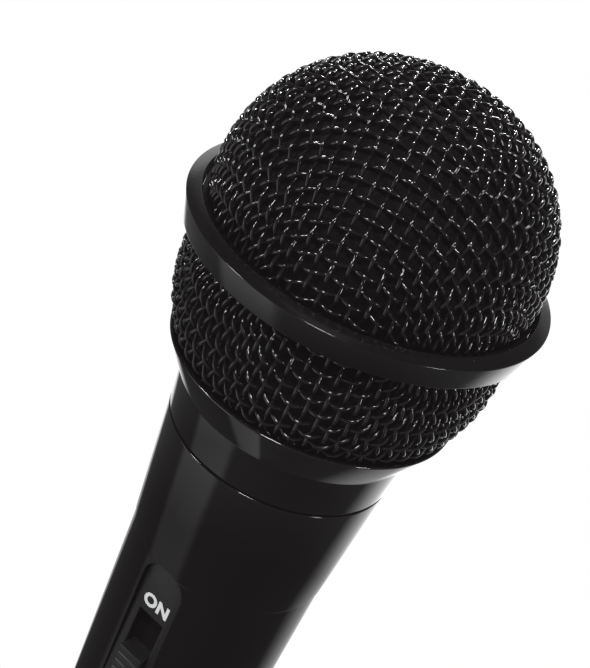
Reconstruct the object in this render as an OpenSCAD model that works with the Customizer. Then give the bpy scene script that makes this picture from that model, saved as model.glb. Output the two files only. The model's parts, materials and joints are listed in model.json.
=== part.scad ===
// Hand-held dynamic vocal microphone with a woven-wire ball grille, a slide switch and a
// three-contact tail socket. The origin is the centre of the tail face and +Z runs up the
// axis to the top of the grille. The switch faces -Y. All lengths are in millimetres.

/* [Head] */
// Outer diameter of the guard band, the widest part of the microphone
band_d = 54; // [52:0.5:56]
// Height of the guard band's outer face
band_h = 3.7; // [3:0.1:4.5]
// Diameter of the wire dome over its wire crests
dome_d = 48.6; // [48:0.1:48.8]
// Rise of the dome above its widest point
dome_rise = 21.9; // [20:0.1:24]
// Diameter of the lower wire cup over its wire crests
cup_d = 48.8; // [48:0.1:48.8]
// Thickness of the woven mesh, two wires laid over each other
mesh_t = 1.2; // [1:0.1:1.4]
// Thickness of the foam liners
foam_t = 2; // [1:0.1:2.4]

/* [Collar] */
// Height of the collar's lower, nearly straight band
collar_band_h = 6.7; // [5:0.1:8]
// Height of the collar's flare under the wire cup
collar_flare_h = 6.2; // [5.5:0.1:7]
// Diameter at the top of the collar's straight band
collar_band_d = 36.8; // [36.4:0.1:38]
// Diameter at the collar's lip
collar_lip_d = 44.2; // [44:0.1:44.6]

/* [Handle] */
// Distance from the tail face to the shoulder that carries the head
shoulder_z = 107.1; // [106:0.1:112]
// Diameter at the shoulder
shoulder_d = 35.2; // [35:0.1:36]
// Height of the crease where the handle's taper changes
waist_z = 85.5; // [84:0.1:87]
// Diameter just above the crease
waist_d = 31.5; // [31:0.1:32]
// Diameter of the straight grip that a stand clip holds
grip_d = 28.8; // [28.4:0.1:29.2]
// Height at which the straight grip ends
grip_top_z = 44; // [40:1:46]

/* [Screw joint] */
// Diameter of the handle's threaded neck
neck_d = 30.4; // [30:0.1:30.6]
// Rise for each turn of the head
thread_pitch = 1.75; // [1.5:0.05:2]
// Turns from tight to free
thread_turns = 4; // [3:1:4]
// Radial running gap between the neck and the collar
run_gap = 0.05; // [0.02:0.01:0.1]

/* [Switch] */
// Travel of the switch knob from off to on
switch_travel = 7; // [4:0.5:7]
// Width of the switch knob
knob_w = 4.6; // [4:0.1:5]
// Length of the switch knob
knob_l = 8; // [7:0.5:8]
// Width of the switch plate's pocket
pocket_w = 8; // [7.5:0.1:8.4]
// Length of the switch plate's pocket
pocket_l = 37.6; // [36:0.1:38]

/* [Tail socket] */
// Inside diameter of the socket
socket_d = 16; // [15.8:0.1:16.4]
// Diameter of each contact pin
contact_d = 2.4; // [2.2:0.1:2.5]
// Radius of the circle that the contact pins stand on
contact_circle_r = 3.8; // [3.6:0.1:4]
// Outer diameter of the tail sleeve
tail_d = 26.4; // [25.6:0.1:27]

/* [Hidden] */
$fn = 96;

gloss_black = [0.03, 0.03, 0.035];
satin_black = [0.07, 0.07, 0.075];
foam_black = [0.05, 0.05, 0.05];
bare_steel = [0.6, 0.6, 0.62];
bright_metal = [0.75, 0.75, 0.77];
copper = [0.72, 0.38, 0.2];
board_green = [0.1, 0.35, 0.2];
white_plastic = [0.85, 0.85, 0.82];
clear_film = [0.75, 0.78, 0.8, 0.8];

gap = 0.1;          // slip gap between pieces that are fitted together
bond = 0.05;        // thin clearance between pieces that are glued or pressed together
washer_t = 0.4;

// Heights up the axis
collar_z = shoulder_z + washer_t;
flare_z = collar_z + collar_band_h;
lip_z = flare_z + collar_flare_h;
neck_h = thread_pitch * thread_turns;
neck_top_z = shoulder_z + neck_h;
cup_h = 21.6;           // from the collar's lip to the top of the band's outer face
band_top_z = lip_z + cup_h;
band_bottom_z = band_top_z - band_h;
dome_centre_z = band_top_z + 3.5;
cup_centre_z = band_top_z - 10.5;
seat_z = lip_z - 0.4;   // ledge in the collar that the cup stands on
dome_low_z = band_top_z - 0.3;
cup_high_z = band_bottom_z + 0.2;

// Radii
dome_r = dome_d / 2;
cup_r = cup_d / 2;
cup_curve_r = 20.6;     // radius of the cup's curve, seen from the side
neck_r = neck_d / 2;
grip_r = grip_d / 2;
tail_r = tail_d / 2;
wall = 2;
far = 60;               // past the outside of everything
lap = 1;                // how far a cutter reaches past the face it opens

// Radius of the ball whose cap is h high over a circle of radius r
function ball_r(r, h) = (r * r + h * h) / (2 * h);
// Inner radius of the cup at height z
function cup_inside_r(z) = cup_r - cup_curve_r + sqrt(pow(cup_curve_r - mesh_t, 2) - pow(cup_centre_z - z, 2));

module revolve(points) {
    rotate_extrude() polygon(points);
}

// A ring of rectangular section
module ring(inner_r, outer_r, z0, z1) {
    revolve([[inner_r, z0], [outer_r, z0], [outer_r, z1], [inner_r, z1]]);
}

// Revolves an arc of wall t and outer radius r, centred at [x, z], between two heights
module arc_shell(r, t, x, z, z_low, z_high) {
    rotate_extrude() intersection() {
        translate([0, z_low]) square([far, z_high - z_low]);
        translate([x, z]) difference() {
            circle(r = r);
            circle(r = r - t);
        }
    }
}

// A dome-shaped shell from height z_low to its apex, flat only at the very top
module dome_shell(rise, t, z_low) {
    flat_r = dome_r - dome_rise;
    arc_shell(rise, t, flat_r, dome_centre_z, z_low, dome_centre_z + rise + 1);
    translate([0, 0, dome_centre_z + rise - t]) cylinder(r = flat_r, h = t);
}

// A cup-shaped shell that curves in to height z_low
module cup_shell(curve_r, t, z_low, z_high) {
    arc_shell(curve_r, t, cup_r - cup_curve_r, cup_centre_z, z_low, z_high);
}

/* ---- Head ---- */

module grille_dome() {
    color(satin_black) dome_shell(dome_rise, mesh_t, dome_low_z);
}

band_inner_r = max(dome_r, cup_r) + 0.2;

// Outer face that leans in towards its foot, a wide bevel on top and a funnel down to the dome
module grille_band() {
    outer_r = band_d / 2;
    lean = 0.62;            // how much narrower the foot is than the top
    edge = 0.2;             // small chamfers on the outer corners
    bevel_w = outer_r - band_inner_r - 0.5;
    bevel_h = 0.7;
    funnel_z = band_top_z - 0.6;
    color(gloss_black) revolve([
        [band_inner_r, band_bottom_z],
        [outer_r - lean - edge, band_bottom_z],
        [outer_r - lean, band_bottom_z + edge],
        [outer_r, band_top_z - edge],
        [outer_r - edge / 2, band_top_z],
        [outer_r - edge / 2 - bevel_w, band_top_z + bevel_h],
        [outer_r - 1.5 * edge - bevel_w, band_top_z + bevel_h - edge / 2],
        [band_inner_r, funnel_z]
    ]);
}

module grille_joint_ring() {
    color(bare_steel) ring(dome_r - mesh_t - gap, band_inner_r - bond, cup_high_z, dome_low_z);
}

module grille_cup() {
    color(satin_black) cup_shell(cup_curve_r, mesh_t, seat_z, cup_high_z);
}

retainer_r = cup_inside_r(seat_z) - gap;
retainer_seat_z = seat_z - 1.6;
retainer_w = 2;         // width of the ledge that the retainer stands on

module grille_collar() {
    band_r = collar_band_d / 2;
    lip_r = collar_lip_d / 2;
    lip_t = 0.7;
    edge = 0.2;
    rim_z = lip_z + 0.3;
    bore_r = neck_r + run_gap;
    color(gloss_black) revolve([
        [bore_r, collar_z],
        [shoulder_d / 2 - edge, collar_z],
        [shoulder_d / 2, collar_z + edge],
        [band_r, flare_z],
        [lip_r, lip_z],
        [lip_r - edge / 4, rim_z],
        [lip_r - lip_t, rim_z],
        [lip_r - lip_t, seat_z],
        [retainer_r + bond, seat_z],
        [retainer_r + bond, retainer_seat_z],
        [retainer_r - retainer_w, retainer_seat_z],
        [bore_r, collar_z + neck_h + gap]
    ]);
}

module mesh_retainer() {
    color(bare_steel) ring(retainer_r - retainer_w + gap, retainer_r, retainer_seat_z, seat_z + 1.8);
}

module dome_foam() {
    color(foam_black) dome_shell(dome_rise - mesh_t - gap, foam_t, dome_low_z + gap);
}

module cup_foam() {
    color(foam_black)
        cup_shell(cup_curve_r - mesh_t - gap, foam_t, seat_z + foam_t, cup_high_z - gap);
}

module slip_washer() {
    color(satin_black) ring(neck_r + gap, shoulder_d / 2 - 0.5, shoulder_z, collar_z);
}

/* ---- Handle ---- */

plate_y = -14.05;           // outer face of the switch plate
plate_t = 0.6;
pocket_y = plate_y + plate_t;
bay_y = -12.2;              // inner face of the flat wall behind the plate
switch_z = 67.2;            // middle of the switch
slot_w = knob_w + 0.3;
slot_l = knob_l + switch_travel + 0.8;
board_y = -4.9;             // inner face of the circuit board
board_t = 1.1;
board_w = 21.6;
board_l = 40;
board_z = switch_z - board_l / 2 + 2.8;     // lower end of the circuit board
bay_z = 47;                 // lower end of the switch bay inside the handle
bay_l = 44;
screw_z = 19.5;
screw_head_depth = 1.4;     // from the grip's surface to the seat of the tail screw's head
tail_top_z = 16;
spigot_r = 11;
spigot_top_z = 24;
holder_r = 12.5;
holder_depth = 8;           // how far the cartridge holder reaches into the neck
cavity_r = 13.3;
cavity_z = 60;              // where the bore starts to narrow towards the grip
grip_bore_r = grip_r - wall - 0.2;

// A plate with round ends, w wide in X and l long in Z, from y0 outward to y1
module stadium(w, l, y0, y1) {
    translate([0, y0, 0]) rotate([90, 0, 0]) linear_extrude(y0 - y1) {
        square([w, l - w], center = true);
        for (s = [-1, 1]) translate([0, s * (l - w) / 2]) circle(d = w);
    }
}

module handle_profile() {
    edge = 0.25;            // chamfer on the shoulder
    neck_edge = 0.4;
    step = 0.17;            // radial step at the crease
    foot_w = 0.9;
    foot_h = 1.4;
    holder_bore_h = holder_depth + 2.5;
    revolve([
        [spigot_r + gap, tail_top_z],
        [grip_r - foot_w, tail_top_z],
        [grip_r, tail_top_z + foot_h],
        [grip_r, grip_top_z],
        [waist_d / 2 - step, waist_z - edge],
        [waist_d / 2, waist_z],
        [shoulder_d / 2, shoulder_z - edge],
        [shoulder_d / 2 - edge, shoulder_z],
        [neck_r, shoulder_z],
        [neck_r, neck_top_z - neck_edge],
        [neck_r - neck_edge, neck_top_z],
        [holder_r + gap, neck_top_z],
        [holder_r + gap, neck_top_z - holder_bore_h],
        [cavity_r, neck_top_z - holder_bore_h - 1.5],
        [cavity_r, cavity_z],
        [grip_bore_r, grip_top_z],
        [grip_bore_r, spigot_top_z + 1],
        [spigot_r + gap, spigot_top_z + 0.4]
    ]);
}

// Flat wall behind the switch and two grooved ribs for the circuit board
module handle_inside() {
    flat_w = 12;
    rib_x = board_w / 2 - 1.2;      // inner edge of each rib
    rib_h = board_t + 2.5;
    intersection() {
        translate([0, 0, bay_z]) cylinder(r = cavity_r + 2 * gap, h = bay_l);
        union() {
            translate([-flat_w / 2, -far, bay_z]) cube([flat_w, far + bay_y, bay_l]);
            for (s = [0, 1]) mirror([s, 0, 0]) difference() {
                translate([rib_x, board_y - board_t / 2 - rib_h / 2, bay_z]) cube([far, rib_h, bay_l]);
                translate([0, board_y - board_t - gap, bay_z - lap])
                    cube([board_w / 2 + 2 * gap, board_t + 2 * gap, bay_l + 2 * lap]);
            }
        }
    }
}

module handle_shell() {
    color(gloss_black) difference() {
        union() {
            handle_profile();
            handle_inside();
        }
        translate([0, 0, switch_z]) stadium(pocket_w, pocket_l, pocket_y, -far);
        translate([-slot_w / 2, -far, switch_z - slot_l / 2]) cube([slot_w, far + bay_y + lap, slot_l]);
        translate([0, 0, screw_z]) rotate([-90, 0, 0]) {
            cylinder(r = screw_r + gap, h = far);
            translate([0, 0, grip_r - screw_head_depth]) cylinder(r = screw_head_r + gap, h = far);
        }
    }
}

holder_top_z = neck_top_z + 11.5;
cup_r_inside = 13.3;        // bore of the holder's cup, around the shock ring

// A cup that carries the capsule, with a skirt pressed into the neck and a hole for the leads
module cartridge_holder() {
    flange_r = neck_r - 0.4;
    skirt_r = holder_r - wall + 0.2;
    floor_t = 1.5;
    hole_r = 5;
    color(satin_black) revolve([
        [skirt_r, neck_top_z - holder_depth],
        [holder_r, neck_top_z - holder_depth],
        [holder_r, neck_top_z],
        [flange_r, neck_top_z],
        [flange_r, holder_top_z],
        [cup_r_inside, holder_top_z],
        [cup_r_inside, neck_top_z + floor_t],
        [hole_r, neck_top_z + floor_t],
        [hole_r, neck_top_z],
        [skirt_r, neck_top_z]
    ]);
}

/* ---- Capsule ---- */

capsule_z = neck_top_z + 2.6;       // back of the capsule
capsule_r = 11.6;
capsule_face_r = 13.8;
gap_z = capsule_z + 12.2;           // top of the magnet gap
membrane_z = gap_z + 2;             // rest height of the diaphragm's rim
coil_inner_r = 6.6;
coil_outer_r = 7.0;
pole_r = coil_inner_r - 0.4;
terminal_r = 0.8;
seat_r = 12.4;                      // ledge that the diaphragm is glued to
cap_z = membrane_z + 3.4;
shell_t = 1;                        // wall of the capsule's housing
pole_t = 2.2;
housing_floor_z = capsule_z + 1.5;
magnet_z = housing_floor_z + 1.6;   // top of the yoke's floor
face_z = neck_top_z + 13;           // underside of the capsule's wide rim
touch = 0.02;                       // clearance of a piece that only just fits
terminal_x = 4;
stand_off = 0.6;                    // from the housing's back to the solder tags
tag_t = 0.4;

module shock_ring() {
    inner_r = capsule_r + touch;
    low_z = neck_top_z + 4;
    rim_r = cup_r_inside + 1.3;
    color(foam_black) revolve([
        [inner_r, low_z],
        [cup_r_inside - touch, low_z],
        [cup_r_inside - touch, holder_top_z],
        [rim_r, holder_top_z],
        [rim_r, face_z - gap],
        [inner_r, face_z - gap]
    ]);
}

module capsule_housing() {
    bore_r = capsule_r - shell_t;
    color(satin_black) difference() {
        revolve([
            [0, capsule_z],
            [capsule_r, capsule_z],
            [capsule_r, face_z],
            [capsule_face_r, face_z],
            [capsule_face_r, cap_z],
            [seat_r + 0.6, cap_z],
            [seat_r + 0.6, membrane_z],
            [seat_r - 1.2, membrane_z],
            [bore_r, gap_z],
            [bore_r, housing_floor_z],
            [0, housing_floor_z]
        ]);
        for (s = [-1, 1]) translate([terminal_x * s, 0, capsule_z - lap])
            cylinder(r = terminal_r + gap, h = 4);
    }
}

// Steel pot around the magnet, with its lip turned in to close on the voice coil
module capsule_yoke() {
    outer_r = capsule_r - shell_t - gap;
    inner_r = 8.8;
    lip_r = coil_outer_r + 0.4;
    color(bare_steel) difference() {
        revolve([
            [0, housing_floor_z],
            [outer_r, housing_floor_z],
            [outer_r, gap_z],
            [lip_r, gap_z],
            [lip_r, gap_z - pole_t],
            [inner_r, gap_z - pole_t - 0.6],
            [inner_r, magnet_z],
            [0, magnet_z]
        ]);
        for (s = [-1, 1]) translate([terminal_x * s, 0, housing_floor_z - lap])
            cylinder(r = terminal_r + 0.3, h = 2 * lap);
    }
}

module capsule_magnet() {
    color(bright_metal) translate([0, 0, magnet_z]) cylinder(r = pole_r - 0.2, h = gap_z - pole_t - magnet_z);
}

module capsule_pole() {
    color(bare_steel) translate([0, 0, gap_z - pole_t]) cylinder(r = pole_r, h = pole_t);
}

// Two posts through the back of the housing, each with a solder tag
module capsule_terminals() {
    tag = [2.4, 1.6, tag_t];
    color(bright_metal) for (s = [-1, 1]) translate([terminal_x * s, 0, capsule_z - stand_off]) {
        cylinder(r = terminal_r, h = 2);
        translate([-tag[0] / 2, -tag[1] / 2, -tag[2]]) cube(tag);
    }
}

module voice_coil() {
    color(copper) ring(coil_inner_r, coil_outer_r, gap_z - pole_t - 1, membrane_z);
}

skin_t = 0.2;
surround_r = coil_outer_r + 0.25;   // inner radius of the flexing edge

module diaphragm() {
    rise = 2.1;
    dome = ball_r(coil_outer_r, rise);
    color(clear_film) {
        arc_shell(dome, skin_t, 0, membrane_z + rise - dome, membrane_z, membrane_z + far);
        ring(coil_inner_r, coil_outer_r + 0.2, membrane_z, membrane_z + skin_t);
    }
}

// Rolled edge that flexes between the moving diaphragm and the housing
module diaphragm_surround() {
    rise = 1.3;
    roll = ball_r((seat_r - surround_r) / 2, rise);
    z = membrane_z + touch;
    color(clear_film) {
        arc_shell(roll, skin_t, (seat_r + surround_r) / 2, z + rise - roll, z, z + far);
        ring(seat_r - 0.2, seat_r + 0.4, z, z + skin_t);
    }
}

module capsule_silk() {
    silk_t = 0.4;
    color(foam_black) translate([0, 0, cap_z - silk_t]) cylinder(r = seat_r + 0.5, h = silk_t);
}

// Cover over the diaphragm, with one sound hole in the middle and a ring of them around it
module capsule_cap() {
    cap_t = 1.4;
    holes = 8;
    color(satin_black) difference() {
        translate([0, 0, cap_z]) cylinder(r = capsule_face_r, h = cap_t);
        translate([0, 0, cap_z - lap]) {
            cylinder(r = 1.6, h = cap_t + 2 * lap);
            for (i = [1:holes]) rotate(360 / holes * i) translate([capsule_face_r * 0.45, 0, 0])
                cylinder(r = 1.3, h = cap_t + 2 * lap);
        }
    }
}

/* ---- Switch ---- */

module switch_plate() {
    color(satin_black) translate([0, 0, switch_z]) difference() {
        stadium(pocket_w - 0.2, pocket_l - 0.2, pocket_y, plate_y);
        translate([-slot_w / 2, -far, -slot_l / 2]) cube([slot_w, far, slot_l]);
    }
}

knob_z = switch_z - slot_l / 2 + 0.4;   // lower end of the knob when the switch is off
flange_y = bay_y + gap;                 // outer face of the knob's flange
flange_t = 0.8;
lever_w = 2;
lever_l = 3;
lever_h = 3.9;
lever_y = bay_y - 0.9;                  // tip of the lever, inside the knob
can_w = 6.8;
can_l = 20;
can_y = flange_y + flange_t + gap;      // outer face of the switch's can
pin_r = 0.5;
pin_pitch = 5;

// Ribbed slider on a long inner flange that keeps the slot covered over the whole travel
module switch_knob() {
    crest_y = plate_y - 1.3;
    flange_reach = switch_travel + 0.6;
    grooves = 4;
    groove_r = 0.45;
    hole_w = lever_w + gap;
    hole_l = lever_l + gap;
    color(satin_black) translate([0, 0, knob_z]) difference() {
        union() {
            translate([-knob_w / 2, crest_y, 0]) cube([knob_w, flange_y - crest_y, knob_l]);
            translate([-can_w / 2, flange_y, -flange_reach])
                cube([can_w, flange_t, knob_l + 2 * flange_reach]);
        }
        for (i = [1:grooves]) translate([-knob_w, crest_y, i * knob_l / (grooves + 1)])
            rotate([0, 90, 0]) cylinder(r = groove_r, h = 2 * knob_w);
        translate([-hole_w / 2, bay_y - lap, (knob_l - hole_l) / 2]) cube([hole_w, 2 * lap, hole_l]);
    }
}

module switch_lever() {
    color(white_plastic) translate([-lever_w / 2, lever_y, knob_z + (knob_l - lever_l) / 2])
        cube([lever_w, lever_h, lever_l]);
}

// Pressed steel can of the slide switch, with a slot for its lever
module switch_body() {
    slot = lever_l + switch_travel + 0.6;
    slot_depth = lever_y + lever_h + 2 * gap - can_y;
    color(bare_steel) difference() {
        translate([-can_w / 2, can_y, switch_z - can_l / 2])
            cube([can_w, board_y - board_t - can_y, can_l]);
        translate([-lever_w / 2 - gap, can_y - lap, switch_z - slot / 2])
            cube([lever_w + 2 * gap, lap + slot_depth, slot]);
    }
}

module switch_terminals() {
    color(bright_metal) for (i = [-1:1]) translate([0, board_y - board_t, switch_z + pin_pitch * i])
        rotate([-90, 0, 0]) cylinder(r = pin_r, h = board_t + 1);
}

module switch_board() {
    color(board_green) difference() {
        translate([-board_w / 2, board_y - board_t, board_z]) cube([board_w, board_t, board_l]);
        for (i = [-1:1]) translate([0, board_y - board_t - lap, switch_z + pin_pitch * i])
            rotate([-90, 0, 0]) cylinder(r = pin_r + bond, h = board_t + 2 * lap);
    }
}

/* ---- Wiring and weight ---- */

lead_r = 0.6;
lead_x = 3;
lead_y = board_y + lead_r + 0.15;   // axis of a lead that lies on the board
flat_y = -5.2;                      // flat side of the weight, which the leads run past
ballast_z = 26.5;

// A round lead through a list of points, slightly swollen at each bend
module lead(points) {
    for (i = [0:len(points) - 2]) {
        step = points[i + 1] - points[i];
        length = norm(step);
        translate(points[i]) rotate([0, acos(step[2] / length), atan2(step[1], step[0])])
            cylinder(r = lead_r, h = length);
    }
    for (i = [1:len(points) - 2]) translate(points[i]) sphere(r = lead_r + 0.1);
}

// From the capsule's solder tags to the upper end of the board
module cartridge_leads() {
    board_top_z = board_z + board_l;
    color("firebrick") for (s = [-1, 1]) lead([
        [lead_x * s, 0, capsule_z - stand_off - tag_t - gap],
        [lead_x * s, 0, neck_top_z - 12],
        [lead_x * s, lead_y, board_top_z + 2],
        [lead_x * s, lead_y, board_top_z - 6]
    ]);
}

// From the lower end of the board, past the weight, to two of the socket's contacts
module output_leads() {
    run_y = flat_y - 2;
    color("white") for (s = [-1, 1]) lead([
        [lead_x * s, lead_y, board_z + 7],
        [lead_x * s, lead_y, board_z - 2],
        [lead_x * s, run_y, grip_top_z + 1.5],
        [lead_x * s, run_y, ballast_z + 1.5],
        [contact_circle_r * s, 0, post_top_z + 0.8]
    ]);
}

// A slug with one flat side, hollowed over the solder posts
module ballast_weight() {
    hollow_h = 3.5;
    color(bare_steel) difference() {
        translate([0, 0, ballast_z]) cylinder(r = grip_bore_r - gap, h = grip_top_z - ballast_z);
        translate([-far / 2, flat_y - far, 0]) cube([far, far, far]);
        translate([0, 0, ballast_z - lap]) cylinder(r = contact_circle_r + 3, h = lap + hollow_h);
    }
}

/* ---- Tail ---- */

socket_depth = 14;
mouth_r = socket_d / 2 + 0.2;   // slightly wider first step of the socket
mouth_depth = 2;
key_z = 2.6;                    // lower end of the key that sets which way a plug goes in
insulator_r = 8.9;
insulator_top_z = 22;
post_top_z = insulator_top_z + 3.5;
pin_body_r = 1.5;
gasket_z = tail_top_z - 0.6;
contact_angles = [0, 180, 270];
screw_r = 1;
screw_head_r = 1.9;
screw_tip = 7;                  // distance of the tail screw's tip from the axis

module tail_gasket() {
    color(foam_black) ring(spigot_r + gap, tail_r - 0.3, gasket_z, tail_top_z);
}

// Metal sleeve with a spigot that reaches into the handle and a key along the socket
module tail_sleeve() {
    edge = 0.8;
    key_w = 2;
    key_h = 0.9;
    color(bright_metal) difference() {
        union() {
            revolve([
                [mouth_r, 0],
                [tail_r - edge, 0],
                [tail_r, edge],
                [tail_r, gasket_z],
                [spigot_r, gasket_z],
                [spigot_r, spigot_top_z],
                [insulator_r + bond, spigot_top_z],
                [insulator_r + bond, socket_depth],
                [socket_d / 2, socket_depth],
                [socket_d / 2, mouth_depth],
                [mouth_r, mouth_depth]
            ]);
            translate([-key_w / 2, socket_d / 2 - key_h, key_z])
                cube([key_w, key_h + 0.3, socket_depth - key_z]);
        }
        translate([0, 0, screw_z]) rotate([-90, 0, 0]) cylinder(r = screw_r + bond, h = far);
    }
}

module socket_insulator() {
    color(satin_black) difference() {
        translate([0, 0, socket_depth]) cylinder(r = insulator_r, h = insulator_top_z - socket_depth);
        for (a = contact_angles) rotate(a) translate([contact_circle_r, 0, socket_depth - lap])
            cylinder(r = pin_body_r + touch, h = insulator_top_z - socket_depth + 2 * lap);
        translate([0, 0, screw_z]) rotate([-90, 0, 0]) translate([0, 0, screw_tip - 2 * gap])
            cylinder(r = screw_r + bond, h = insulator_r);
    }
}

// A contact pin with a round tip, a thicker body in the insulator and a solder post
module socket_contacts() {
    r = contact_d / 2;
    post_r = 1.3;
    tip_z = 2.2;
    color(bright_metal) for (a = contact_angles) rotate(a) translate([contact_circle_r, 0, 0]) {
        translate([0, 0, tip_z + r]) sphere(r = r);
        translate([0, 0, tip_z + r]) cylinder(r = r, h = socket_depth - tip_z - r);
        translate([0, 0, socket_depth]) cylinder(r = pin_body_r, h = insulator_top_z - socket_depth);
        translate([0, 0, insulator_top_z]) cylinder(r = post_r, h = post_top_z - insulator_top_z);
    }
}

// Cross-slotted screw that holds the tail in the handle
module tail_screw() {
    head_z = grip_r - screw_head_depth;
    head_t = 1.1;
    cross_l = 2.2;
    cross_w = 0.5;
    color(bright_metal) translate([0, 0, screw_z]) rotate([-90, 0, 0]) difference() {
        union() {
            translate([0, 0, screw_tip]) cylinder(r = screw_r, h = head_z - screw_tip);
            translate([0, 0, head_z]) cylinder(r = screw_head_r, h = head_t);
        }
        for (a = [0, 90]) rotate(a) translate([-cross_l / 2, -cross_w / 2, head_z + head_t / 2])
            cube([cross_l, cross_w, head_t]);
    }
}

grille_dome();
grille_band();
grille_joint_ring();
grille_cup();
grille_collar();
mesh_retainer();
dome_foam();
cup_foam();
slip_washer();
handle_shell();
cartridge_holder();
shock_ring();
capsule_housing();
capsule_yoke();
capsule_magnet();
capsule_pole();
capsule_terminals();
voice_coil();
diaphragm();
diaphragm_surround();
capsule_silk();
capsule_cap();
switch_plate();
switch_knob();
switch_lever();
switch_body();
switch_terminals();
switch_board();
cartridge_leads();
output_leads();
ballast_weight();
tail_gasket();
tail_sleeve();
socket_insulator();
socket_contacts();
tail_screw();
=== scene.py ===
"""Looks of a hand-held vocal microphone: woven-wire ball grille, guard band, collar, handle and switch.

All lengths are metres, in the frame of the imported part: the origin is the centre of the tail face, +Z runs up
the axis to the grille, and -Y is the side with the switch. Sizes come from the frame's nodes, so the pieces
made here sit where the solids do.
"""

import json
import math

import bmesh
import bpy
import numpy as np
from mathutils import Matrix, Vector, noise
from mathutils.bvhtree import BVHTree


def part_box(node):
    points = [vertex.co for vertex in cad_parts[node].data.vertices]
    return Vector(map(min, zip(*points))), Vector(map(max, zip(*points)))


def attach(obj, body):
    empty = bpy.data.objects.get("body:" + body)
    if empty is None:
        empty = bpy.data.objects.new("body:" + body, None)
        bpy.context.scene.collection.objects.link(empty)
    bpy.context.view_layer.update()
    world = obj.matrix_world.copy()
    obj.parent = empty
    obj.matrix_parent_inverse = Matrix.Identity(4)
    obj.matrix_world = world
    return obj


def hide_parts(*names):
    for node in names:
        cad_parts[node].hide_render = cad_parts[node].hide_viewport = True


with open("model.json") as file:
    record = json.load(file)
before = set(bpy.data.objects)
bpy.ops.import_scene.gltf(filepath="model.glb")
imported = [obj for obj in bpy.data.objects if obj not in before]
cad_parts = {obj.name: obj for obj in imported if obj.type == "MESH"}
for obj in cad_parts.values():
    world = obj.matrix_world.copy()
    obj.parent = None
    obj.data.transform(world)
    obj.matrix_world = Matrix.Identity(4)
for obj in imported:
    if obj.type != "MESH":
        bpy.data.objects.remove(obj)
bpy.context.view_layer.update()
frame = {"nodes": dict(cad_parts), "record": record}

MM = 0.001
MICRON = 0.001 * MM
TAU = 2 * math.pi
FIT = 0.05 * MM                 # gap between two pieces that fit closely
SAME_POINT = 0.001 * MM         # points closer than this are one point
AWAY_Y = 20 * MM                # well clear of the handle, on either side of the axis

# ---- Grille sizes that the frame's boxes don't hold ----
DOME_CURVE = 0.9012             # radius of the dome's curve over the dome's own radius
CUP_CURVE = 0.8443              # radius of the cup's curve over the cup's own radius
WIRE_R = 0.28 * MM              # radius of one grille wire
WIRE_SIDES = 8
MESH_T = 4 * WIRE_R + 0.04 * MM     # two crossed wires and a little play
WEAVE_PITCH = 2.12 * MM         # distance between neighbouring wires
WEAVE_STEPS = 6                 # points along a wire from one crossing to the next
WEAVE_TURN = math.radians(22)   # direction of the dome's straightest wires, about +Z from -Y
CUP_TURN = math.radians(28)     # the same for the cup
WEAVE_EASE = 0.75               # how far the sheared parts of the weave settle towards even spacing
WOBBLE = 0.22 * MM              # how far forming the bowl pushes a crossing off its place
WOBBLE_SPAN = 6 * MM            # distance over which that push changes
CRIMP_HEIGHT = 1.25             # height of a wire's waves over its own radius
CRIMP_BEND = 0.25               # how much sharper than a plain wave they turn at a crossing
FOAM_T = 2 * MM
FOAM_GAP = 0.1 * MM             # between the mesh and its foam lining
FOAM_CELL = 0.9 * MM            # size of the foam's uneven patches
FOAM_PIT = 0.22 * MM            # depth of those patches
BAND_BEVEL_H = 0.7 * MM         # height of the guard band's bevel above its outer face
COLLAR_BAND_H = 6.7 * MM        # height of the collar below its flare
LIP_T = 0.7 * MM                # thickness of the collar's lip around the mesh

# ---- Handle and switch ----
CREASE_DROP = 21.6 * MM         # from the handle's shoulder down to its crease
CAVITY_R = 13.3 * MM            # bore of the handle's upper half
CAVITY_LOW = 60 * MM            # height where that bore starts to narrow
THREAD_TURNS = 4                # turns of the thread on the handle's neck
THREAD_DEPTH = 0.45 * MM
THREAD_GROOVE = 0.34            # half the groove's width over the pitch
THREAD_FLANK = 1.5              # steepness of its sides over those of a plain V, which leaves a flat bottom
THREAD_RUNOUT = 0.6 * MM        # length over which the groove fades at each end
THREAD_ROWS = 56
SCREW_HOLE_D = 4 * MM
KNOB_W = 4.6 * MM               # the knob where it stands out of the plate
KNOB_L = 8 * MM
KNOB_TRAVEL = 7 * MM
SLOT_SPARE = 0.8 * MM           # length of the switch slot beyond what the knob needs
LEGEND_SIZE = 3.1 * MM          # height of a printed line
LEGEND_BOLD = 0.045             # widening of each stroke over the height of a line
LEGEND_OFFSET = 10.3 * MM       # from the middle of the switch to each word
LEGEND_RISE = 0.02 * MM         # printed letters stand this far off the plate


def radius(node):
    """Outer radius of a round node."""
    low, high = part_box(node)
    return (high.x - low.x) / 2


def bottom(node):
    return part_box(node)[0].z


def top(node):
    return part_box(node)[1].z


def radius_at(node, z):
    """Outer radius of a node at a height, on the +X side."""
    mesh = bmesh.new()
    mesh.from_mesh(frame["nodes"][node].data)
    tree = BVHTree.FromBMesh(mesh)
    hit = tree.ray_cast(Vector((1, 0, z)), Vector((-1, 0, 0)))[0]
    mesh.free()
    return hit.x


# ---------------------------------------------------------------- mesh helpers

def make_object(name, vertices, faces, material, smooth=True):
    """A mesh object in the scene from lists of points and faces."""
    mesh = bpy.data.meshes.new(name)
    mesh.from_pydata([tuple(v) for v in vertices], [], [tuple(f) for f in faces])
    mesh.update()
    piece = bpy.data.objects.new(name, mesh)
    bpy.context.scene.collection.objects.link(piece)
    piece.data.materials.append(material)
    if smooth:
        shade_smooth(piece)
    return piece


def shade_smooth(piece):
    piece.data.polygons.foreach_set("use_smooth", [True] * len(piece.data.polygons))


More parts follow.
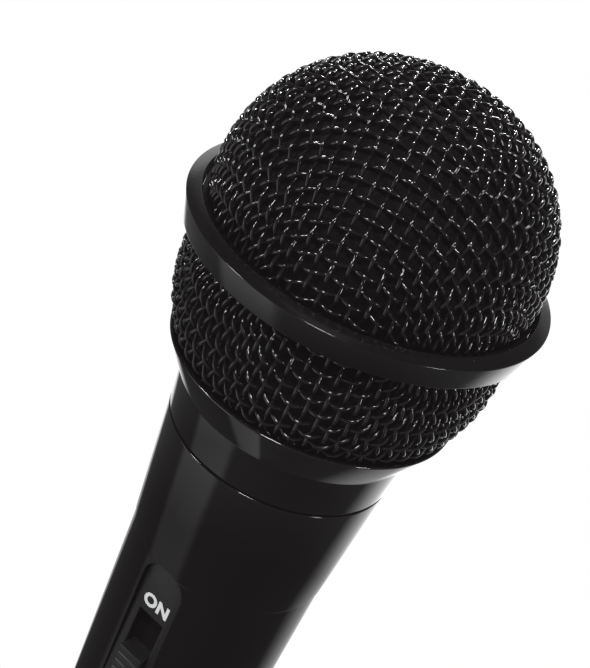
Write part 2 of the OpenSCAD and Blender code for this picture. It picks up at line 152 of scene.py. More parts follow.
def rounded(corners, steps=5):
    """Closed outline from (radius, height, fillet) corners, each corner turned into an arc."""
    most = 0.45                 # a fillet takes at most this share of each side beside it
    points = []
    for index, (r, z, fillet) in enumerate(corners):
        here = Vector((r, z))
        if fillet <= 0:
            points.append(here)
            continue
        before = Vector(corners[index - 1][:2]) - here
        after = Vector(corners[(index + 1) % len(corners)][:2]) - here
        half = before.angle(after) / 2
        reach = min(fillet / math.tan(half), most * before.length, most * after.length)
        start = here + before.normalized() * reach
        end = here + after.normalized() * reach
        for step in range(steps + 1):
            t = step / steps
            points.append(start.lerp(here, t).lerp(here.lerp(end, t), t))
    return [(p.x, p.y) for p in points]


def lathe(name, outline, material, segments, shift=None):
    """Closed outline of (radius, height) points turned about the axis.

    shift(r, z, angle) may give a point another radius."""
    vertices, faces = [], []
    count = len(outline)
    for s in range(segments):
        angle = TAU * s / segments
        for r, z in outline:
            turned_r = shift(r, z, angle) if shift else r
            vertices.append((turned_r * math.cos(angle), turned_r * math.sin(angle), z))
    for s in range(segments):
        here = s * count
        there = (s + 1) % segments * count
        for k in range(count):
            n = (k + 1) % count
            faces.append((here + k, there + k, there + n, here + n))
    piece = make_object(name, vertices, faces, material)
    sharpen(piece)
    return piece


def sharpen(piece, degrees=32):
    """Marks edges sharper than an angle, so that smooth shading stops there."""
    mesh = bmesh.new()
    mesh.from_mesh(piece.data)
    bmesh.ops.remove_doubles(mesh, verts=mesh.verts, dist=SAME_POINT)
    bmesh.ops.recalc_face_normals(mesh, faces=mesh.faces)
    limit = math.radians(degrees)
    for edge in mesh.edges:
        edge.smooth = len(edge.link_faces) == 2 and edge.calc_face_angle(0) < limit
    mesh.to_mesh(piece.data)
    mesh.free()


def place(piece, body, slot, *nodes):
    """Makes a piece ride on a body and stand for CAD nodes. slot is not used."""
    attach(piece, body)
    if nodes:
        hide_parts(*nodes)
    return piece


def stadium(width, length, height, steps=24):
    """Outline of (x, z) points with round ends, centred on the axis at a height."""
    points = []
    for end in (1, -1):
        for step in range(steps + 1):
            angle = math.pi * step / steps
            x = math.cos(angle) * width / 2
            z = math.sin(angle) * width / 2
            points.append((end * x, height + end * ((length - width) / 2 + z)))
    return points


def box_outline(width, length, height):
    """Outline of (x, z) points with square ends, centred on the axis at a height."""
    w = width / 2
    l = length / 2
    return [(w, height - l), (w, height + l), (-w, height + l), (-w, height - l)]


def prism(name, outline, y0, y1, material):
    """An outline of (x, z) points drawn out from y0 to y1."""
    count = len(outline)
    vertices = [(x, y, z) for y in (y0, y1) for x, z in outline]
    faces = [(k, (k + 1) % count, (k + 1) % count + count, k + count) for k in range(count)]
    faces.append(tuple(reversed(range(count))))
    faces.append(tuple(range(count, 2 * count)))
    piece = make_object(name, vertices, faces, material)
    sharpen(piece)
    return piece


def apply_modifiers(piece):
    """Bakes a piece's modifiers into its mesh."""
    shown = piece.evaluated_get(bpy.context.evaluated_depsgraph_get())
    mesh = bpy.data.meshes.new_from_object(shown)
    piece.modifiers.clear()
    piece.data = mesh


def carve(piece, cutters):
    """Cuts closed pieces out of a piece, and deletes them."""
    for cutter in cutters:
        cut = piece.modifiers.new("cut", "BOOLEAN")
        cut.operation = "DIFFERENCE"
        cut.solver = "EXACT"
        cut.object = cutter
    apply_modifiers(piece)
    for cutter in cutters:
        bpy.data.objects.remove(cutter)


def roughen(piece, cell, depth):
    """Pushes every vertex inward by an uneven amount, up to depth, in patches of about one size."""
    finer = 2.3                 # a second, weaker unevenness has patches this many times smaller
    finer_share = 0.35
    elsewhere = Vector((9, 4, 2))
    mesh = piece.data
    normals = [Vector(n.vector) for n in mesh.vertex_normals]
    moved = []
    for vertex, normal in zip(mesh.vertices, normals):
        where = vertex.co / cell
        pit = 0.5 + 0.5 * noise.noise(where) + finer_share * noise.noise(where * finer + elsewhere)
        moved.extend(vertex.co - normal * depth * min(max(pit, 0.0), 1.0))
    mesh.vertices.foreach_set("co", moved)
    mesh.update()


def softened(node, body, slot, width):
    """A copy of a CAD node with its sharp edges turned into small fillets, standing for the node."""
    mesh = bmesh.new()
    mesh.from_mesh(frame["nodes"][node].data)
    bmesh.ops.remove_doubles(mesh, verts=mesh.verts, dist=SAME_POINT)
    bmesh.ops.dissolve_limit(mesh, angle_limit=math.radians(0.5), verts=mesh.verts, edges=mesh.edges)
    data = bpy.data.meshes.new(node + "_finish")
    mesh.to_mesh(data)
    mesh.free()
    piece = bpy.data.objects.new(node + "_finish", data)
    bpy.context.scene.collection.objects.link(piece)
    data.materials.clear()
    data.materials.append(SLOT_LOOKS[slot])
    bevel = piece.modifiers.new("fillet", "BEVEL")
    bevel.width = width
    bevel.segments = 3
    bevel.limit_method = "ANGLE"
    bevel.angle_limit = math.radians(35)
    bevel.use_clamp_overlap = True
    apply_modifiers(piece)
    shade_smooth(piece)
    sharpen(piece, 50)
    return place(piece, body, slot, node)


# ---------------------------------------------------------------- woven wire

class Bowl:
    """A round bowl: an arc of radius curve, its centre `offset` off the axis at height `centre`.

    side is 1 for a dome with its pole on top, and -1 for a cup with its pole below."""

    def __init__(self, rim, curve, centre, side):
        self.offset = rim - curve
        self.curve = curve
        self.centre = centre
        self.side = side

    def normal(self, point):
        """Unit vector out of the surface at a point near it."""
        flat = np.array([point[0], point[1], 0.0])
        rho = np.linalg.norm(flat)
        if rho <= self.offset:
            return np.array([0.0, 0.0, float(self.side)])
        out = flat * (1 - self.offset / rho)
        out[2] = point[2] - self.centre
        return out / np.linalg.norm(out)

    def height(self, point):
        """Signed distance of a point from the surface."""
        flat = np.array([point[0], point[1], 0.0])
        rho = np.linalg.norm(flat)
        if rho <= self.offset:
            return self.side * (point[2] - self.centre) - self.curve
        out = flat * (1 - self.offset / rho)
        out[2] = point[2] - self.centre
        return np.linalg.norm(out) - self.curve

    def along(self, distance, direction):
        """The point reached by going a distance from the pole down the meridian in a direction."""
        if distance <= self.offset:
            rho = distance
            z = self.curve
        else:
            angle = (distance - self.offset) / self.curve
            rho = self.offset + self.curve * math.sin(angle)
            z = self.curve * math.cos(angle)
        return np.array([rho * math.cos(direction), rho * math.sin(direction), self.centre + self.side * z])


def fourth_corner(bowl, near, a, b, pitch):
    """The point on the bowl one pitch from a and from b, on the far side from near, or None.

    Newton's method, from the corner of a flat cell."""
    point = a + b - near
    for _ in range(12):
        to_a = point - a
        to_b = point - b
        miss = np.array([bowl.height(point), to_a @ to_a - pitch ** 2, to_b @ to_b - pitch ** 2])
        rows = np.array([bowl.normal(point), 2 * to_a, 2 * to_b])
        if abs(np.linalg.det(rows)) < 1e-12:
            return None
        step = np.linalg.solve(rows, miss)
        point = point - step
        if np.linalg.norm(step) < 1e-9:
            folded_back = np.linalg.norm(point - near) <= 0.3 * pitch
            return None if folded_back else point
    return None


def weave_net(bowl, pitch, reach):
    """Crossings of a cloth of equal wires laid on a bowl: {(i, j): point}, straight along +X and +Y."""
    net = {(0, 0): bowl.along(0.0, 0.0)}
    for quarter in range(4):
        for k in range(1, reach + 1):
            key = [(k, 0), (0, k), (-k, 0), (0, -k)][quarter]
            net[key] = bowl.along(k * pitch, quarter * math.pi / 2)
    for si in (1, -1):
        for sj in (1, -1):
            for i in range(1, reach + 1):
                for j in range(1, reach + 1):
                    near = net.get((si * (i - 1), sj * (j - 1)))
                    a = net.get((si * i, sj * (j - 1)))
                    b = net.get((si * (i - 1), sj * j))
                    if near is None or a is None or b is None:
                        continue
                    corner = fourth_corner(bowl, near, a, b, pitch)
                    if corner is not None:
                        net[(si * i, sj * j)] = corner
    return net


def relaxed(net, share):
    """The net with its sheared diagonals eased towards even spacing round the axis, as drawn mesh settles."""
    eased = {}
    for (i, j), point in net.items():
        rho = math.hypot(point[0], point[1])
        even = math.atan2(j, i)
        now = math.atan2(point[1], point[0])
        now += share * math.sin(2 * even) ** 2 * (even - now)
        eased[(i, j)] = np.array([rho * math.cos(now), rho * math.sin(now), point[2]])
    return eased


def turned(net, angle):
    """The net turned about the axis."""
    c = math.cos(angle)
    s = math.sin(angle)
    return {key: np.array([c * p[0] - s * p[1], s * p[0] + c * p[1], p[2]]) for key, p in net.items()}


def wobbled(bowl, net, size):
    """The net with each crossing pushed a little along the bowl, as hand-formed mesh is."""
    apart = (0.0, 40.0, 80.0)   # far-apart places in the noise, so that the three pushes are unrelated
    moved = {}
    for key, point in net.items():
        where = Vector(point) / WOBBLE_SPAN
        push = np.array([noise.noise(where + Vector((shift, 0, 0))) for shift in apart])
        n = bowl.normal(point)
        push = (push - n * (push @ n)) * size
        point = point + push
        moved[key] = point - bowl.normal(point) * bowl.height(point)
    return moved


def spline(a, b, c, d, t):
    """A smooth curve from b to c that leaves along a-c and arrives along b-d."""
    square = 2 * a - 5 * b + 4 * c - d
    cube = 3 * b - a - 3 * c + d
    return 0.5 * (2 * b + (c - a) * t + square * t * t + cube * t ** 3)


def crimp(wave):
    """Height of a crimped wire in wire radii, from a plain wave between -1 and 1."""
    return CRIMP_HEIGHT * ((1 + CRIMP_BEND) * wave - CRIMP_BEND * wave ** 3)


def wire_path(bowl, crossings, first_sign):
    """Centre line of one wire through its crossings, over and under in turn, with its outward directions."""
    points, normals = [], []
    ends = [2 * crossings[0] - crossings[1]] + crossings + [2 * crossings[-1] - crossings[-2]]
    for k in range(len(crossings) - 1):
        last = k == len(crossings) - 2
        for step in range(WEAVE_STEPS + last):
            t = step / WEAVE_STEPS
            point = spline(*ends[k:k + 4], t)
            n = bowl.normal(point)
            wave = first_sign * (-1) ** k * crimp(math.cos(math.pi * t))
            points.append(point - n * bowl.height(point) + n * wave * WIRE_R)
            normals.append(n)
    return points, normals


def kept_runs(points, normals, keep):
    """Splits a path into the stretches where keep(point) holds."""
    shortest = 4
    runs, run = [], []
    for point, n in zip(points, normals):
        if keep(point):
            run.append((point, n))
        elif run:
            runs.append(run)
            run = []
    if run:
        runs.append(run)
    return [r for r in runs if len(r) >= shortest]


def sweep(run, vertices, faces):
    """Adds a round wire along a run of (point, normal), closed at both ends."""
    base = len(vertices)
    sides = WIRE_SIDES
    points = np.array([p for p, _ in run])
    normals = np.array([n for _, n in run])
    along = np.gradient(points, axis=0)
    along /= np.linalg.norm(along, axis=1)[:, None]
    across = np.cross(along, normals)
    across /= np.linalg.norm(across, axis=1)[:, None]
    up = np.cross(across, along)
    for k in range(len(points)):
        for s in range(sides):
            angle = TAU * s / sides
            out = across[k] * math.cos(angle) + up[k] * math.sin(angle)
            vertices.append(points[k] + WIRE_R * out)
    for k in range(len(points) - 1):
        a = base + k * sides
        b = a + sides
        for s in range(sides):
            n = (s + 1) % sides
            faces.append((a + s, a + n, b + n, b + s))
    last = base + (len(points) - 1) * sides
    faces.append([base + s for s in reversed(range(sides))])
    faces.append([last + s for s in range(sides)])


def woven_mesh(name, bowl, turn, keep, material):
    """Plain-woven wire over a bowl, kept where keep(point) holds."""
    reach = int(1.7 * bowl.curve / WEAVE_PITCH) + 4     # wires each way that cover the bowl, and a few more
    net = turned(relaxed(weave_net(bowl, WEAVE_PITCH, reach), WEAVE_EASE), turn)
    net = wobbled(bowl, net, WOBBLE)
    vertices, faces = [], []
    lines = range(-reach, reach + 1)
    for family, family_sign in ((0, 1), (1, -1)):
        for line in lines:
            keys = [(line, k) if family == 0 else (k, line) for k in lines]
            keys = [key for key in keys if key in net]
            if len(keys) < 4:
                continue
            first_sign = family_sign * (-1) ** (keys[0][0] + keys[0][1])
            path = wire_path(bowl, [net[key] for key in keys], first_sign)
            for run in kept_runs(*path, keep):
                sweep(run, vertices, faces)
    return make_object(name, vertices, faces, material)


# ---------------------------------------------------------------- shader helpers

def math_node(tree, operation, first, second):
    """The result of an operation on two sockets or numbers."""
    node = tree.nodes.new("ShaderNodeMath")
    node.operation = operation
    for socket, value in zip(node.inputs, (first, second)):
        if isinstance(value, bpy.types.NodeSocket):
            tree.links.new(value, socket)
        else:
            socket.default_value = value
    return node.outputs["Value"]


def remapped(tree, value, old, new):
    """A value carried from the range old to the range new, and held at its ends."""
    node = tree.nodes.new("ShaderNodeMapRange")
    for name, number in zip(("From Min", "From Max", "To Min", "To Max"), (*old, *new)):
        node.inputs[name].default_value = number
    tree.links.new(value, node.inputs["Value"])
    return node.outputs["Result"]


def add_noise(tree, scale):
    """A noise value between 0 and 1, with so many waves to the metre."""
    place_node = tree.nodes.new("ShaderNodeTexCoord")
    texture = tree.nodes.new("ShaderNodeTexNoise")
    texture.inputs["Scale"].default_value = scale
    texture.inputs["Detail"].default_value = 4.0
    tree.links.new(place_node.outputs["Object"], texture.inputs["Vector"])
    return remapped(tree, texture.outputs["Fac"], (0.3, 0.7), (0, 1))


def mix_colour(tree, factor, low, high):
    """A colour that goes from low to high as factor goes from 0 to 1."""
    node = tree.nodes.new("ShaderNodeMix")
    node.data_type = "RGBA"
    node.inputs["A"].default_value = (*low, 1)
    node.inputs["B"].default_value = (*high, 1)
    tree.links.new(factor, node.inputs["Factor"])
    return node.outputs["Result"]


def add_bump(tree, shader, height, depth):
    """Raises a surface by a height value, up to a depth."""
    bump = tree.nodes.new("ShaderNodeBump")
    bump.inputs["Distance"].default_value = depth
    bump.inputs["Strength"].default_value = 0.6
    tree.links.new(height, bump.inputs["Height"])
    tree.links.new(bump.outputs["Normal"], shader.inputs["Normal"])


# ---------------------------------------------------------------- materials

BLOTCHES = 90                   # broad uneven patches to the metre, in colour and gloss
DUST_CELL = MM / 1.5            # each cell of this size holds one speck of dust, or none
DUST_SIZE = 0.16                # radius of a speck over the size of its cell
DUST_COLOUR = (0.22, 0.21, 0.20, 1)


def painted(name, dark, light, rough, spread, grain, depth, metallic=0.0, ior=1.5, specular=0.5, glow=0.0):
    """Paint, moulding or metal: two close colours, uneven gloss and a grain of so many waves to the metre. glow
    is a painted glow: the surface gives off light of its own.
    """
    material = bpy.data.materials.new(name)
    material.use_nodes = True
    tree = material.node_tree
    shader = tree.nodes["Principled BSDF"]
    blotch = add_noise(tree, BLOTCHES)
    tree.links.new(mix_colour(tree, blotch, dark, light), shader.inputs["Base Color"])
    tree.links.new(remapped(tree, blotch, (0, 1), (rough, rough + spread)), shader.inputs["Roughness"])
    shader.inputs["Metallic"].default_value = metallic
    shader.inputs["IOR"].default_value = ior
    shader.inputs["Specular IOR Level"].default_value = specular
    # painted glow: light given off by a surface that is no lamp
    shader.inputs["Emission Strength"].default_value = glow
    add_bump(tree, shader, add_noise(tree, grain), depth)
    return material


def add_dust(material, clean):
    """Adds pale specks of dust to a finish. clean is the share of the cells that hold none."""
    tree = material.node_tree
    colour_input = tree.nodes["Principled BSDF"].inputs["Base Color"]
    place_node = tree.nodes.new("ShaderNodeTexCoord")
    cells = tree.nodes.new("ShaderNodeTexVoronoi")
    cells.inputs["Scale"].default_value = 1 / DUST_CELL
    tree.links.new(place_node.outputs["Object"], cells.inputs["Vector"])
    draw = tree.nodes.new("ShaderNodeSeparateColor")
    tree.links.new(cells.outputs["Color"], draw.inputs["Color"])
    inside = math_node(tree, "LESS_THAN", cells.outputs["Distance"], DUST_SIZE)
    chosen = math_node(tree, "GREATER_THAN", draw.outputs["Red"], clean)
    mix = tree.nodes.new("ShaderNodeMix")
    mix.data_type = "RGBA"
    mix.inputs["B"].default_value = DUST_COLOUR
    tree.links.new(math_node(tree, "MULTIPLY", inside, chosen), mix.inputs["Factor"])
    tree.links.new(colour_input.links[0].from_socket, mix.inputs["A"])
    tree.links.new(mix.outputs["Result"], colour_input)


# Black paint and mouldings
wire_paint = painted("wire_paint", (0.004, 0.0037, 0.0035), (0.006, 0.0056, 0.0053),
                     rough=0.09, spread=0.04, grain=2600, depth=0.6 * MICRON, ior=1.6)
gloss_paint = painted("gloss_paint", (0.0044, 0.0038, 0.0036), (0.0056, 0.0049, 0.0046),
                      rough=0.05, spread=0.05, grain=1500, depth=4 * MICRON)
collar_paint = painted("collar_paint", (0.0044, 0.0038, 0.0036), (0.0056, 0.0049, 0.0046),
                       rough=0.04, spread=0.04, grain=1500, depth=3 * MICRON, ior=1.8)
band_paint = painted("band_paint", (0.0046, 0.0042, 0.0040), (0.0064, 0.0060, 0.0057),
                     rough=0.11, spread=0.05, grain=1500, depth=6 * MICRON)
add_dust(gloss_paint, clean=0.998)
add_dust(collar_paint, clean=0.998)
add_dust(band_paint, clean=0.994)
satin_moulding = painted("satin_moulding", (0.005, 0.005, 0.005), (0.008, 0.008, 0.008),
                         rough=0.34, spread=0.12, grain=2600, depth=30 * MICRON)
# painted shade: a darker, duller copy of the satin moulding, for surfaces that lie deep in shade
painted_shade_moulding = painted("painted_shade_moulding", (0.001, 0.001, 0.001), (0.002, 0.002, 0.002),
                          rough=0.85, spread=0.10, grain=2600, depth=30 * MICRON, specular=0.15)
rubber = painted("rubber", (0.006, 0.006, 0.006), (0.010, 0.010, 0.010),
                 rough=0.60, spread=0.15, grain=2200, depth=40 * MICRON)
foam_cells = painted("foam_cells", (0.0012, 0.0011, 0.0010), (0.0062, 0.0057, 0.0054),
                     rough=0.80, spread=0.15, grain=1400, depth=300 * MICRON, specular=0.12)

# Metals
nickel = painted("nickel", (0.55, 0.54, 0.52), (0.66, 0.65, 0.63),
                 rough=0.16, spread=0.10, grain=1500, depth=6 * MICRON, metallic=1.0)
steel = painted("steel", (0.42, 0.42, 0.43), (0.56, 0.56, 0.57),
                rough=0.28, spread=0.14, grain=1800, depth=10 * MICRON, metallic=1.0)
brass = painted("brass", (0.62, 0.47, 0.22), (0.74, 0.58, 0.30),
                rough=0.22, spread=0.12, grain=1800, depth=10 * MICRON, metallic=1.0)
copper = painted("copper", (0.55, 0.24, 0.11), (0.70, 0.34, 0.18),
                 rough=0.24, spread=0.10, grain=6000, depth=50 * MICRON, metallic=1.0)

# Pale and coloured plastics
film = painted("film", (0.60, 0.63, 0.66), (0.70, 0.73, 0.76),
               rough=0.12, spread=0.10, grain=900, depth=10 * MICRON)
white_moulding = painted("white_moulding", (0.72, 0.72, 0.68), (0.82, 0.82, 0.78),
                         rough=0.35, spread=0.10, grain=1500, depth=10 * MICRON)
# white print, with a painted glow: the letters give off a little light of their own
legend_ink_and_painted_glow = painted("legend_ink_and_painted_glow", (0.74, 0.75, 0.76), (0.86, 0.87, 0.88),
                     rough=0.45, spread=0.15, grain=3000, depth=10 * MICRON, glow=0.15)
board_lacquer = painted("board_lacquer", (0.02, 0.11, 0.05), (0.03, 0.16, 0.08),
                        rough=0.20, spread=0.10, grain=900, depth=10 * MICRON)
red_insulation = painted("red_insulation", (0.42, 0.02, 0.02), (0.52, 0.04, 0.03),
                         rough=0.40, spread=0.12, grain=1500, depth=10 * MICRON)
white_insulation = painted("white_insulation", (0.70, 0.70, 0.68), (0.80, 0.80, 0.78),
                           rough=0.40, spread=0.12, grain=1500, depth=10 * MICRON)

SLOT_LOOKS = {
    "black_mesh": wire_paint,
    "gloss_black": gloss_paint,
    "satin_plastic": satin_moulding,
    "foam": foam_cells,
    "silk": foam_cells,
    "rubber": rubber,
    "fibre": rubber,
    "steel": steel,
    "plated": nickel,
    "brass": brass,
    "copper": copper,
    "film": film,
    "white_plastic": white_moulding,
    "board": board_lacquer,
    "red_lead": red_insulation,
    "white_lead": white_insulation,
}
# Steel rings that are painted together with the mesh. They take the painted-shade moulding, darker and duller
# than the paint: painted shade in the narrow gaps beside the guard band and the collar's lip.
BLACK_RINGS_IN_SHADE = {"grille_joint_ring", "mesh_retainer"}


def dress_cad_nodes():
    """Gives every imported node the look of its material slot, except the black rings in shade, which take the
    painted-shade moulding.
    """
    for row in frame["record"]["subparts"]:
        piece = frame["nodes"][row["node"]]
        look = painted_shade_moulding if row["node"] in BLACK_RINGS_IN_SHADE else SLOT_LOOKS[row["material_slot"]]
        piece.data.materials.clear()
        piece.data.materials.append(look)


# ---------------------------------------------------------------- grille

def dome_bowl(depth):
    """The dome's surface, a depth inside its outer face."""
    rim = radius("grille_dome")
    curve = DOME_CURVE * rim
    return Bowl(rim - depth, curve - depth, top("grille_dome") - curve, 1)


def cup_bowl(depth):
    """The cup's surface, a depth inside its outer face."""
    rim = radius("grille_cup")
    return Bowl(rim - depth, CUP_CURVE * rim - depth, cup_centre(), -1)


def cup_centre():
    """Height of the cup's widest circle, from the radius that the cup has at its lower edge."""
    rim = radius("grille_cup")
    curve = CUP_CURVE * rim
    low = bottom("grille_cup")
    edge = [v.co for v in frame["nodes"]["grille_cup"].data.vertices if v.co.z < low + 0.01 * MM]
    edge_r = max(math.hypot(co.x, co.y) for co in edge)
    return low + math.sqrt(curve ** 2 - (edge_r - rim + curve) ** 2)


def build_mesh():
    """The woven wire dome and cup."""
    floor_z = top("grille_joint_ring")
    dome = woven_mesh("dome_weave", dome_bowl(MESH_T / 2), WEAVE_TURN - math.pi / 2,
                      lambda p: p[2] > floor_z + WIRE_R, wire_paint)
    place(dome, "head", "black_mesh", "grille_dome")
    low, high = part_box("grille_cup")
    cup = woven_mesh("cup_weave", cup_bowl(MESH_T / 2), CUP_TURN - math.pi / 2,
                     lambda p: low.z + WIRE_R < p[2] < high.z - WIRE_R, wire_paint)
    place(cup, "head", "black_mesh", "grille_cup")


def foam_lining(node, bowl, thickness):
    """An open-cell foam sheet laid inside a bowl, between the node's lowest and highest heights."""
    slack = 0.01 * MM
    low = bottom(node) - slack
    high = top(node) + slack
    rows = 110
    reach = 1.1 * (bowl.offset + bowl.curve * math.pi / 2)      # from the pole past the widest circle
    outside, inside = [], []
    for row in range(rows + 1):
        point = bowl.along(reach * row / rows, 0.0)
        if low <= point[2] <= high:
            outside.append((point[0], point[2]))
            n = bowl.normal(point)
            inside.append((max(point[0] - n[0] * thickness, 0.0), point[2] - n[2] * thickness))
    lining = lathe(node + "_lining", outside + inside[::-1], foam_cells, segments=400)
    roughen(lining, FOAM_CELL, FOAM_PIT)
    place(lining, "head", "foam", node)


def build_foam():
    foam_lining("dome_foam", dome_bowl(MESH_T + FOAM_GAP), FOAM_T)
    foam_lining("cup_foam", cup_bowl(MESH_T + FOAM_GAP), FOAM_T)


def build_guard_band():
    """The turned band round the widest part of the grille, with a wide bevel on top."""
    low = bottom("grille_band")
    high = top("grille_band")
    r = radius("grille_band")
    inner = radius("grille_joint_ring") + FIT
    edge = high - BAND_BEVEL_H
    lean = 0.75 * MM            # the outer face leans in towards its lower edge
    mouth_w = 0.4 * MM          # chamfer from the bevel down into the gap beside the mesh
    mouth_h = 0.6 * MM
    outline = rounded([
        (inner, low, 0.1 * MM),
        (r - lean, low, 0.25 * MM),
        (r, edge - 0.05 * MM, 0.22 * MM),
        (inner + mouth_w, high + 0.02 * MM, 0.12 * MM),
        (inner, edge - mouth_h, 0.1 * MM),
    ])
    band = lathe("guard_band", outline, band_paint, segments=256)
    place(band, "head", "gloss_black", "grille_band")


def build_collar():
    """The collar that screws onto the handle and flares out to a thin lip around the cup."""
    low = bottom("grille_collar")
    high = top("grille_collar")
    lip_r = radius("grille_collar")
    neck_top = top("handle_shell")
    bore_r = radius_at("handle_shell", neck_top - 1 * MM) + FIT
    flare = low + COLLAR_BAND_H
    seat = bottom("grille_cup")
    ledge = bottom("mesh_retainer")
    ledge_w = 2 * MM
    retainer_r = radius("mesh_retainer") + FIT
    outline = rounded([
        (bore_r, low, 0.1 * MM),
        (radius_at("grille_collar", low + 0.2 * MM), low, 0.18 * MM),
        (radius_at("grille_collar", flare), flare, 0.5 * MM),
        (lip_r + 0.02 * MM, high - 0.1 * MM, 0.3 * MM),
        (lip_r - LIP_T, high, 0.25 * MM),
        (lip_r - LIP_T, seat, 0.1 * MM),
        (retainer_r, seat, 0.05 * MM),
        (retainer_r, ledge, 0.05 * MM),
        (retainer_r - ledge_w, ledge, 0.2 * MM),
        (bore_r, neck_top + 0.5 * MM, 0.3 * MM),
    ])
    collar = lathe("collar", outline, collar_paint, segments=256)
    place(collar, "head", "gloss_black", "grille_collar")


# ---------------------------------------------------------------- handle and switch

def thread_groove(r, z, angle, low, high, neck_r, pitch):
    """Radius of a point of the neck once its thread is cut: a groove that climbs a pitch each turn."""
    if r < neck_r - 0.2 * MM or not low < z < high:
        return r
    turn_share = ((z - low) / pitch - angle / TAU) % 1.0
    vee = max(0.0, 1 - abs(turn_share - 0.5) / THREAD_GROOVE)
    groove = min(vee * THREAD_FLANK, 1.0)
    fade = min(1.0, (z - low) / THREAD_RUNOUT, (high - z) / THREAD_RUNOUT)
    return r - THREAD_DEPTH * groove * fade


def handle_outline(shoulder, neck_r):
    """The handle's wall: up the outside from the tail to the neck, and down the bore."""
    node = "handle_shell"
    low = bottom(node)
    high = top(node)
    sleeve_top = top("tail_sleeve")
    grip_top = top("ballast_weight")
    grip_r = radius_at(node, low + 5 * MM)
    grip_wall = 2.2 * MM
    crease = shoulder - CREASE_DROP
    holder_low = high - 10.5 * MM
    holder_r = radius_at("cartridge_holder", bottom("cartridge_holder") + 1 * MM) + 2 * FIT
    corners = [
        (radius_at("tail_sleeve", sleeve_top) + 2 * FIT, low, 0.1 * MM),
        (radius_at(node, low + 0.01 * MM), low, 0.15 * MM),
        (grip_r, low + 1.4 * MM, 0.8 * MM),
        (grip_r, grip_top, 4 * MM),
        (radius_at(node, crease - 0.3 * MM), crease - 0.25 * MM, 0.12 * MM),
        (radius_at(node, crease + 0.05 * MM), crease + 0.02 * MM, 0.1 * MM),
        (radius_at(node, shoulder - 0.4 * MM), shoulder, 0.3 * MM),
        (neck_r, shoulder, 0.1 * MM),
    ]
    for row in range(1, THREAD_ROWS):
        corners.append((neck_r, shoulder + (high - shoulder) * row / THREAD_ROWS, 0))
    corners += [
        (neck_r, high, 0.4 * MM),
        (holder_r, high, 0.1 * MM),
        (holder_r, holder_low, 0),
        (CAVITY_R, holder_low - 1.5 * MM, 0),
        (CAVITY_R, CAVITY_LOW, 0),
        (grip_r - grip_wall, grip_top, 0),
        (grip_r - grip_wall, sleeve_top + 1 * MM, 0),
    ]
    return rounded(corners)


def handle_openings():
    """Cutters for the plate's pocket, the switch slot and the tail screw's hole."""
    low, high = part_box("switch_plate")
    middle = (low.z + high.z) / 2
    spare = 4 * FIT
    pocket = stadium(high.x * 2 + spare, high.z - low.z + spare, middle)
    slot = box_outline(KNOB_W + 6 * FIT, KNOB_L + KNOB_TRAVEL + SLOT_SPARE, middle)
    screw_z = (bottom("tail_screw") + top("tail_screw")) / 2
    screw_hole = stadium(SCREW_HOLE_D, SCREW_HOLE_D + 0.01 * MM, screw_z)
    screw_seat = radius_at("handle_shell", bottom("handle_shell") + 5 * MM) - 1.4 * MM
    slot_floor = -11 * MM
    return [
        prism("pocket_cut", pocket, high.y, -AWAY_Y, gloss_paint),
        prism("slot_cut", slot, slot_floor, -AWAY_Y, gloss_paint),
        prism("screw_cut", screw_hole, AWAY_Y, screw_seat, gloss_paint),
    ]


def build_handle():
    """The tapered handle: straight grip, crease, shoulder, threaded neck, and the openings for the switch."""
    node = "handle_shell"
    high = top(node)
    shoulder = bottom("slip_washer")
    neck_r = radius_at(node, high - 1 * MM)
    thread_gap = 0.5 * MM
    thread_low = shoulder + thread_gap
    thread_high = high - thread_gap
    pitch = (high - shoulder) / THREAD_TURNS
    handle = lathe("handle", handle_outline(shoulder, neck_r), gloss_paint, 360,
                   lambda r, z, a: thread_groove(r, z, a, thread_low, thread_high, neck_r, pitch))
    carve(handle, handle_openings())
    sharpen(handle, 28)
    place(handle, "handle", "gloss_black", node)


# node, body, material slot, fillet
FITTINGS = [
    ("switch_plate", "handle", "satin_plastic", 0.12 * MM),
    ("switch_knob", "switch_slider", "satin_plastic", 0.10 * MM),
    ("tail_sleeve", "handle", "plated", 0.12 * MM),
    ("socket_insulator", "handle", "satin_plastic", 0.08 * MM),
    ("tail_screw", "handle", "steel", 0.08 * MM),
    ("cartridge_holder", "handle", "rubber", 0.15 * MM),
    ("capsule_cap", "handle", "satin_plastic", 0.12 * MM),
]


def build_fittings():
    """Small pieces whose CAD shape is right, with their edges softened."""
    for fitting in FITTINGS:
        softened(*fitting)
    shade_inside_slot(bpy.data.objects["switch_knob_finish"])


def shade_inside_slot(knob):
    """Paints shade on the part of the knob behind the plate, where no light reaches: those faces take a darker,
    duller copy of its moulding.
    """
    behind_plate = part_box("switch_plate")[1].y + 0.3 * MM
    knob.data.materials.append(painted_shade_moulding)
    for face in knob.data.polygons:
        if all(knob.data.vertices[i].co.y > behind_plate for i in face.vertices):
            face.material_index = 1


def lettering(word):
    """Mesh of a word drawn in XY, facing +Z and centred on the origin."""
    letters = bpy.data.curves.new("letters", "FONT")
    letters.body = word
    letters.size = LEGEND_SIZE
    letters.offset = LEGEND_BOLD * LEGEND_SIZE
    letters.space_character = 1.08
    letters.extrude = LEGEND_RISE
    letters.align_x = "CENTER"
    letters.align_y = "CENTER"
    drawn = bpy.data.objects.new("letters", letters)
    bpy.context.scene.collection.objects.link(drawn)
    bpy.context.view_layer.update()
    mesh = bpy.data.meshes.new_from_object(drawn.evaluated_get(bpy.context.evaluated_depsgraph_get()))
    bpy.data.objects.remove(drawn)
    return mesh


